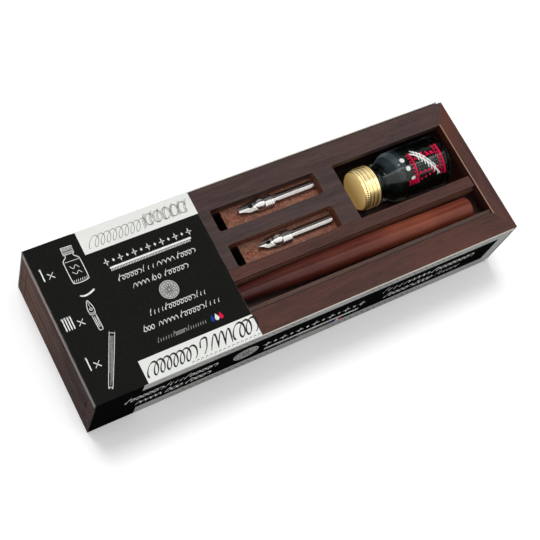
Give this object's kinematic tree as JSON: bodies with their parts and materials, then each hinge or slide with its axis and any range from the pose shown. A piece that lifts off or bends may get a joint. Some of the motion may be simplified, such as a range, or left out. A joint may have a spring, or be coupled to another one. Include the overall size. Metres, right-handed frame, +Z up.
{
  "type": "calligraphy set box",
  "caption": "Wooden tray in a card sleeve: slots for dip-pen nibs with reservoirs, a channel with a penholder, and a bay with a screw-capped ink bottle.",
  "frame": {"origin": "middle of the footprint, on the surface that the sleeve lies on", "axes": "+X along the box towards the bottle, +Y to its back, +Z up out of the tray"},
  "size_m": [0.216, 0.0734, 0.0371],
  "materials": {
    "stained_wood": "dark stain, satin",
    "milled_wood": "dark stain, rough where milled",
    "polished_wood": "red-brown, polished",
    "printed_card": "matt print",
    "bottle_glass": "clear",
    "black_ink": "liquid",
    "liner_foam": "matt",
    "gilt_cap": "gold, bright",
    "nib_steel": "bright",
    "ferrule_steel": "bright",
    "brad_steel": "dull"
  },
  "bodies": {
    "tray": {"base_panel": "stained_wood", "front_wall": "stained_wood", "back_wall": "stained_wood", "left_wall": "stained_wood", "right_wall": "stained_wood", "front_rail": "stained_wood", "right_rail": "stained_wood", "back_rail": "stained_wood", "left_rail": "stained_wood", "corner_brads": "brad_steel", "long_divider": "stained_wood", "nib_tray": "milled_wood", "nib_tray_bearers": "stained_wood", "bay_partition": "stained_wood", "bottle_bed": "stained_wood", "pen_bed": "stained_wood", "channel_lining": "stained_wood", "pen_bed_bearers": "stained_wood"},
    "sleeve": {"sleeve": "printed_card"},
    "bottle": {"glass_bottle": "bottle_glass", "ink": "black_ink"},
    "liner": {"cap_liner": "liner_foam"},
    "cap": {"screw_cap": "gilt_cap"},
    "holder": {"penholder": "polished_wood", "nib_ferrule": "ferrule_steel"},
    "broad_nib": {"broad_nib": "nib_steel"},
    "broad_nib_reservoir": {"broad_nib_reservoir": "nib_steel"},
    "pointed_nib": {"pointed_nib": "nib_steel"},
    "pointed_nib_reservoir": {"pointed_nib_reservoir": "nib_steel"},
    "medium_nib": {"medium_nib": "nib_steel"},
    "medium_nib_reservoir": {"medium_nib_reservoir": "nib_steel"},
    "fine_nib": {"fine_nib": "nib_steel"},
    "fine_nib_reservoir": {"fine_nib_reservoir": "nib_steel"}
  },
  "joints": [
    {"name": "sleeve_slide", "type": "slide", "parent": "tray", "child": "sleeve", "axis": [-1, 0, 0], "range_m": [0, 0.22]},
    {"name": "bottle_lift", "type": "slide", "parent": "tray", "child": "bottle", "axis": [0, -0.2425, 0.9701], "range_m": [0, 0.06]},
    {"name": "cap_travel", "type": "slide", "parent": "bottle", "child": "liner", "axis": [-1, 0, 0], "range_m": [0, 0.0076]},
    {"name": "cap_turn", "type": "hinge", "parent": "liner", "child": "cap", "pos_m": [0.0515, 0.0141, 0.02145], "axis": [-1, 0, 0], "range_deg": [0, 1080]},
    {"name": "holder_tilt", "type": "hinge", "parent": "tray", "child": "holder", "pos_m": [-0.0722, -0.01407, 0.029], "axis": [0.0174, -0.9998, 0], "range_deg": [0, 2.3]},
    {"name": "broad_nib_lift", "type": "slide", "parent": "tray", "child": "broad_nib", "axis": [0, 0, 1], "range_m": [0, 0.03]},
    {"name": "pointed_nib_lift", "type": "slide", "parent": "tray", "child": "pointed_nib", "axis": [0, 0, 1], "range_m": [0, 0.03]},
    {"name": "medium_nib_slide", "type": "slide", "parent": "tray", "child": "medium_nib", "axis": [-1, 0, 0], "range_m": [0, 0.01]},
    {"name": "fine_nib_slide", "type": "slide", "parent": "tray", "child": "fine_nib", "axis": [-1, 0, 0], "range_m": [0, 0.01]},
    {"name": "broad_nib_reservoir_slide", "type": "slide", "parent": "broad_nib", "child": "broad_nib_reservoir", "axis": [-1, 0, 0], "range_m": [-0.001, 0.002]},
    {"name": "pointed_nib_reservoir_slide", "type": "slide", "parent": "pointed_nib", "child": "pointed_nib_reservoir", "axis": [-1, 0, 0], "range_m": [-0.001, 0.002]},
    {"name": "medium_nib_reservoir_slide", "type": "slide", "parent": "medium_nib", "child": "medium_nib_reservoir", "axis": [-1, 0, 0], "range_m": [-0.001, 0.002]},
    {"name": "fine_nib_reservoir_slide", "type": "slide", "parent": "fine_nib", "child": "fine_nib_reservoir", "axis": [-1, 0, 0], "range_m": [-0.001, 0.002]}
  ],
  "couplings": [
    {"joint": "cap_travel", "follows": "cap_turn", "m_per_rad": 0.00039789}
  ]
}
